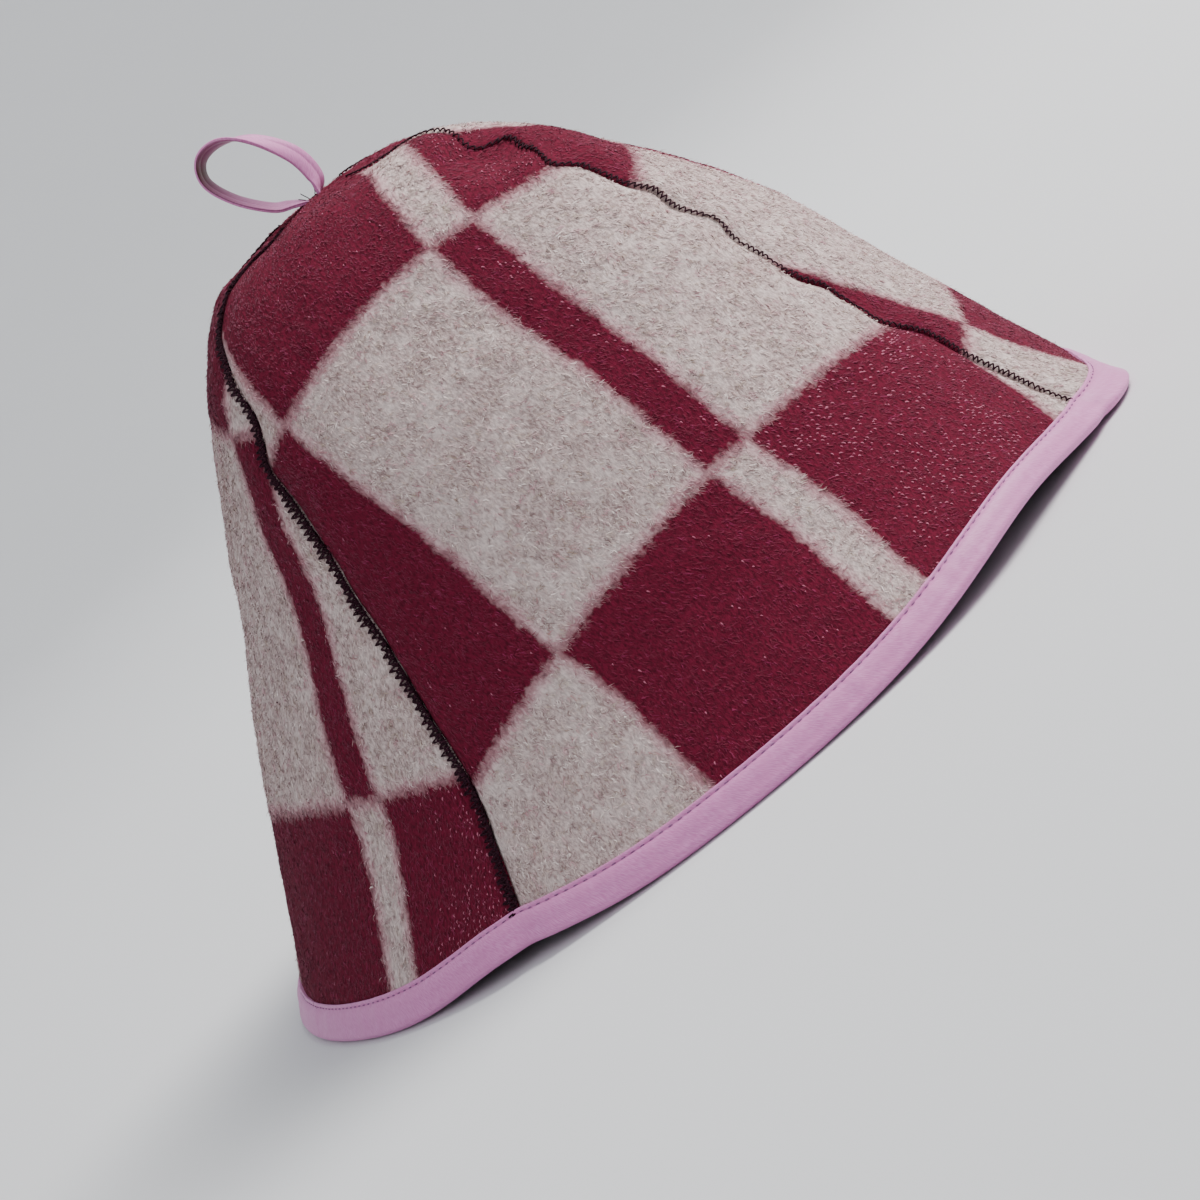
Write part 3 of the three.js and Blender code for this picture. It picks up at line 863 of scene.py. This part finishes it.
def seam_cord(facts):
    """The threads that lie packed along a seam at the foot of its stitches."""
    slant = np.arange(SEAM_FROM, SEAM_TO, CORD["step"])
    offset = (facts["reach"][1] - facts["reach"][0]) * CORD["aside"]
    offset = (offset + wander(slant, reach=0.2, size=3, seed=9)) * np.minimum(1, slant / SEAM_FULL)
    path = beside_seam(facts["turn"], offset, slant, CORD["height"])
    return tube(path, facts["cord"] * rng.uniform(*CORD["strays"], len(path)), sides=6)


def make_seams():
    for name, facts in SEAMS.items():
        passes = [zigzag(facts, shift, share) for shift, share in facts["passes"]]
        if facts["cord"]:
            passes.append(seam_cord(facts))
        points, faces = merge(passes)
        thing = put(f"seam_{name}", points, faces, PLUM_THREAD)


# The binding's outline: how far up the wall from the rim and how deep below the gores' outer face. It
# swells like a roll between the rim and its stitching, and a thin lip stands past the stitches.
BINDING_OUTSIDE = ((11.0, -0.15), (11.1, -0.65), (10.6, -0.85), (10.15, -0.75), (9.8, -0.5), (9.4, -0.85),
                   (8.6, -1.35), (7.2, -1.75), (5.2, -1.9), (3.6, -1.8))
BINDING_TURN = ((-1.45, 2.3), (-1.2, 1.2), (-0.55, 0.35), (0.5, 0.0), (1.3, 0.0), (2.1, 0.0), (3.1, 0.35),
                (3.8, 1.2), (4.0, 2.3))
BINDING_STEPS = 640
BINDING_RADIUS = 155  # about that of the rim
BINDING_PUCKERS = ((0.12, 38, 21), (0.10, 80, 22))  # height, number in a radian, seed
PUCKER_FROM = -0.6  # the outline puckers where it stands out further
INNER_SHARE = 0.8  # the inner face swells less
MEASURE_STEPS = 4000
STITCH_ROWS = (("outer", -0.62, 1), ("inner", CLOTH + 0.5, -1))  # name, depth, way that it faces
BINDING_STITCH = {"up": 9.85, "pitch": 3.2, "length": 1.6, "radius": 0.22}
BEAD_SIDES = 5
BEAD_RINGS = ((-0.32, 0.8), (0.0, 1.0), (0.32, 0.8))  # share of the length, share of the radius


def curve(before, start, end, after, t):
    """Points on a Catmull-Rom curve from start to end."""
    bend = (2 * before - 5 * start + 4 * end - after) * t ** 2
    return 0.5 * (2 * start + (end - before) * t + bend + (3 * start - before - 3 * end + after) * t ** 3)


def smooth_outline(controls, pieces):
    """A closed curve through controls, which lie along axis 1."""
    ends = [np.roll(controls, -step, axis=1) for step in (-1, 0, 1, 2)]
    out = [curve(*ends, k / pieces) for k in range(pieces)]
    return np.stack(out, axis=2).reshape(len(controls), -1, 3)


def make_binding():
    angle = np.linspace(0, 2 * math.pi, BINDING_STEPS, endpoint=False)
    walls = []
    pucker = sum(wander(angle * many, high, 1, seed) for high, many, seed in BINDING_PUCKERS)
    for up, depth in BINDING_OUTSIDE:
        walls.append(wall_point(angle, RIM_SLANT - up, depth + pucker * (depth < PUCKER_FROM)))
    for depth, height in BINDING_TURN:
        walls.append(edge_point(angle, depth, height))
    for up, depth in BINDING_OUTSIDE[::-1]:
        walls.append(wall_point(angle, RIM_SLANT - up, CLOTH - depth * INNER_SHARE))
    rings = smooth_outline(np.stack(walls, axis=1), 2)
    places = np.broadcast_arrays(angle[:, None] * BINDING_RADIUS, length_along(rings[0]), 0.0)
    tape = np.stack(places, axis=-1).reshape(-1, 3)
    faces = grid_faces(BINDING_STEPS, rings.shape[1], wrap_rows=True)
    facts = {"tape": tape, "inside": np.zeros(len(tape))}
    thing = put("binding_roll", rings.reshape(-1, 3), [faces[:, ::-1]], TAPE, facts)
    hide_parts("rim_binding")


def beads(centre, along, outward, length, radius):
    """Short plump stitches that lie along a line, as points and faces."""
    side = np.cross(along, outward)
    turn = np.arange(BEAD_SIDES) * 2 * math.pi / BEAD_SIDES
    verts = [centre - along * length / 2]
    for share, fat in BEAD_RINGS:
        for t in turn:
            ring = side * math.cos(t) + outward * math.sin(t)
            verts.append(centre + along * length * share + ring * radius * fat)
    verts.append(centre + along * length / 2)
    base = np.arange(len(centre))[:, None] * len(verts)
    a, last = np.arange(BEAD_SIDES), len(verts) - 1
    b = (a + 1) % BEAD_SIDES
    ring = 1 + np.stack([a, b, BEAD_SIDES + b, BEAD_SIDES + a], axis=-1)
    start = np.stack([a * 0, 1 + b, 1 + a], axis=-1)
    end = last - np.stack([a * 0, BEAD_SIDES - a, BEAD_SIDES - b], axis=-1)
    parts = np.concatenate([ring, ring + BEAD_SIDES]), np.concatenate([start, end])
    faces = [(part[:, None] + base).reshape(-1, part.shape[1]) for part in parts]
    return np.stack(verts, axis=1).reshape(-1, 3), faces


def make_binding_stitches():
    facts = BINDING_STITCH
    for name, depth, facing in STITCH_ROWS:
        fine = np.linspace(0, 2 * math.pi, MEASURE_STEPS)
        way = length_along(wall_point(fine, np.full_like(fine, RIM_SLANT - facts["up"]), depth))
        count = round(way[-1] / facts["pitch"])
        angle = np.interp(np.arange(count) * way[-1] / count, way, fine)
        slant = np.full_like(angle, RIM_SLANT - facts["up"])
        centre = wall_point(angle, slant, depth)
        along = unit(np.roll(centre, -1, axis=0) - np.roll(centre, 1, axis=0))
        outward = unit(np.cross(np.cross(along, normal_of(outer_point, angle, slant)), along)) * facing
        points, faces = beads(centre, along, outward, facts["length"], facts["radius"])
        thing = put(f"binding_stitches_{name}", points, faces, MAUVE_THREAD)


# ---- Hanging loop ----

LOOP_WIDTH = 6.4
LOOP_STEPS = 150
LOOP_TAPE_APART = 40  # sets its threads apart from the binding's
# painted shade: how strongly the loop's inner face is painted dark, row by row of LOOP_LINE
LOOP_SHADE = {"row": 5.4, "reach": 3.4, "least": 0.2}  # the inner face is darkest about this row

# The tape's middle line, from one end of its stem to the other: how far behind and above the apex it
# passes, and how far it is twisted towards the wearer's right, in degrees.
LOOP_LINE = np.array([
    (2.1, -4.5, 0),  # back end
    (2.2, -0.6, -8),  # back root
    (6.4, 2.2, -20),  # back arm
    (11.6, 5.2, -28),  # low belly
    (18.7, 14.0, -32),  # low bend
    (22.2, 23.4, -36),  # tip
    (18.9, 29.6, -34),  # high bend
    (11.3, 30.0, -14),  # edge on
    (2.7, 24.1, 32),  # high belly
    (-3.9, 13.4, 64),  # front arm
    (-4.9, 4.2, 60),  # front foot
    (-2.3, -0.6, 14),  # front root
    (-2.1, -4.5, 0),  # front end
], float)
LOOP_PLACES = np.linspace(0, len(LOOP_LINE) - 1, LOOP_STEPS)

# Half of the folded tape's outline, as shares of its half width and millimetres through it.
LOOP_OUTLINE = np.array([(-0.99, 0.12), (-1.0, 0.42), (-0.93, 0.6), (-0.35, 0.6), (-0.28, 0.48), (-0.2, 0.6),
                         (0.93, 0.6), (1.0, 0.42), (0.99, 0.12), (0.93, 0.0)])


def loop_line(place):
    """Points of the tape's middle line and its twist, by a curve from row to row of the table."""
    lead, trail = 2 * LOOP_LINE[0] - LOOP_LINE[1], 2 * LOOP_LINE[-1] - LOOP_LINE[-2]
    rows = np.concatenate([[lead], LOOP_LINE, [trail]])
    i = np.clip(np.floor(place).astype(int), 0, len(LOOP_LINE) - 2)
    return curve(*(rows[i + k] for k in range(4)), (place - i)[:, None]).T


def make_loop():
    back, up, twist = loop_line(LOOP_PLACES)
    centre = np.stack([back * 0, back, SECTIONS[0, 0] + up], axis=-1)
    along = unit(np.gradient(centre, axis=0))
    left = np.array([1.0, 0.0, 0.0])
    inward = np.cross(left, along)
    turn = np.radians(twist)[:, None]
    width, inward = left * np.cos(turn) - inward * np.sin(turn), inward * np.cos(turn) + left * np.sin(turn)
    w, through = np.concatenate([LOOP_OUTLINE, -LOOP_OUTLINE]).T
    w = w * LOOP_WIDTH / 2
    rings = centre[:, None] + width[:, None] * w[:, None] + inward[:, None] * through[:, None]
    places = np.broadcast_arrays(length_along(centre)[:, None], w + LOOP_TAPE_APART, 0.0)
    tape = np.stack(places, axis=-1).reshape(-1, 3)
    # painted shade on the loop's inner face, strongest at the tip, where it lies in shadow
    shaded = np.maximum(1 - abs(LOOP_PLACES - LOOP_SHADE["row"]) / LOOP_SHADE["reach"], LOOP_SHADE["least"])
    inside = (shaded[:, None] * (through > 0.05)).ravel()
    faces = [grid_faces(LOOP_STEPS, len(w)), *end_faces(LOOP_STEPS, len(w))]
    thing = put("loop_tape", rings.reshape(-1, 3), faces, TAPE, {"tape": tape, "inside": inside})
    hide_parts("hang_loop")


# Thread ends between the loop's feet: how far behind the apex and to the left, their height and their lean.
LOOP_TAILS = [(0.6, 1.4, 3.4, 1.2), (1.8, -1.8, 2.6, 2.4), (-0.8, 0.2, 2.2, -1.6), (2.6, 0.6, 1.8, 3.0)]
TAIL = {"curl": 0.35, "turn": 5, "sunk": 0.6}


def make_loop_tails():
    time = np.linspace(0, 1, 9)
    parts = []
    for back, left, height, lean in LOOP_TAILS:
        curl = TAIL["curl"] * np.sin(TAIL["turn"] * time + height)
        up = SECTIONS[0, 0] - TAIL["sunk"] + height * time
        path = np.stack([left + curl, back + lean * time, up], axis=-1)
        parts.append(tube(path, radius=0.16, sides=5))
    points, faces = merge(parts)
    thing = put("loop_thread_ends", points, faces, PLUM_THREAD)


make_seams()
make_binding()
make_binding_stitches()
make_loop()
make_loop_tails()


# ---- Floor, light and camera ----

STAGE = {"flat": 1.7, "curve": 1.5, "height": 3.2, "rings": 40, "spokes": 96}


def make_stage():
    """A seamless studio bowl: a flat floor that curves up into a wall all round."""
    flat, curve = STAGE["flat"], STAGE["curve"]
    turn = np.linspace(0, math.pi / 2, STAGE["rings"])
    radius = np.concatenate([[0.002, flat / 2], flat + curve * np.sin(turn), [flat + curve]])
    height = np.concatenate([[0, 0], curve * (1 - np.cos(turn)), [STAGE["height"]]])
    spin = np.arange(STAGE["spokes"]) * 2 * math.pi / STAGE["spokes"]
    x, y = radius[:, None] * np.cos(spin), radius[:, None] * np.sin(spin)
    verts = np.stack([x, y, height[:, None] + 0 * x], axis=-1).reshape(-1, 3)
    faces = grid_faces(len(radius), STAGE["spokes"]).tolist()
    faces.append(list(range(STAGE["spokes"])))
    mesh = bpy.data.meshes.new("studio_floor")
    mesh.from_pydata(verts.tolist(), [], faces)
    mesh.shade_smooth()
    thing = bpy.data.objects.new("studio_floor", mesh)
    bpy.context.collection.objects.link(thing)
    g = Graph("pale_floor")
    place = g.add("TexCoord").outputs["Object"]
    shade = g.mix(g.noise(place, 0.4, 2.0), srgb(216, 218, 220), srgb(222, 223, 225))
    mesh.materials.append(g.finish(Base_Color=shade, Roughness=0.95, Specular_IOR_Level=0.1))


def make_world():
    world = bpy.data.worlds.new("studio")
    world.use_nodes = True
    sky = world.node_tree.nodes["Background"]
    sky.inputs["Color"].default_value = srgb(232, 236, 242)
    sky.inputs["Strength"].default_value = 0.76
    bpy.context.scene.world = world


LIGHTS = {
    "key": {"place": (0.05, -1.5, 1.7), "size": 1.3, "power": 86, "colour": (1.0, 0.97, 0.945)},
    "fill": {"place": (-1.5, 0.4, 1.2), "size": 1.6, "power": 3, "colour": (0.96, 0.98, 1.0)},
}
LIGHT_TARGET = Vector((0, 0, 0.1))


def make_light(name, place, size, power, colour):
    data = bpy.data.lights.new(name, "AREA")
    data.shape = "DISK"
    data.size = size
    data.energy = power
    data.color = colour
    lamp = bpy.data.objects.new(name, data)
    lamp.location = place
    lamp.rotation_euler = (LIGHT_TARGET - Vector(place)).to_track_quat("-Z", "Y").to_euler()
    bpy.context.collection.objects.link(lamp)


# The camera looks at the wearer's right side, and is rolled so that the hat leans back as on a head.
CAMERA = {"azimuth": -103.5, "elevation": 7.4, "distance": 1.102, "roll": -40.0, "lens": 107.9}
CAMERA_TARGET = Vector((0, -AHEAD * MM, 0.092))
CAMERA_AIM = (0.0233, -0.0463)  # to the side and up from the target, as the rolled camera sees it


def make_camera():
    a, e = math.radians(CAMERA["azimuth"]), math.radians(CAMERA["elevation"])
    back = Vector((math.sin(a) * math.cos(e), -math.cos(a) * math.cos(e), math.sin(e)))
    level = (-back).cross(Vector((0, 0, 1))).normalized()
    upright = level.cross(-back)
    roll = math.radians(CAMERA["roll"])
    right = level * math.cos(roll) + upright * math.sin(roll)
    up = upright * math.cos(roll) - level * math.sin(roll)
    place = CAMERA_TARGET + back * CAMERA["distance"]
    aim = CAMERA_TARGET + right * CAMERA_AIM[0] + up * CAMERA_AIM[1]
    look = (aim - place).normalized()
    side = look.cross(up).normalized()
    top = side.cross(look)
    data = bpy.data.cameras.new("camera")
    data.lens = CAMERA["lens"]
    data.sensor_width = 36
    data.clip_start, data.clip_end = 0.05, 20
    camera = bpy.data.objects.new("camera", data)
    axes = Matrix((side, top, -look)).transposed().to_4x4()
    axes.translation = place
    camera.matrix_world = axes
    bpy.context.collection.objects.link(camera)
    bpy.context.scene.camera = camera


make_stage()
make_world()
for name, facts in LIGHTS.items():
    make_light(name, **facts)
make_camera()
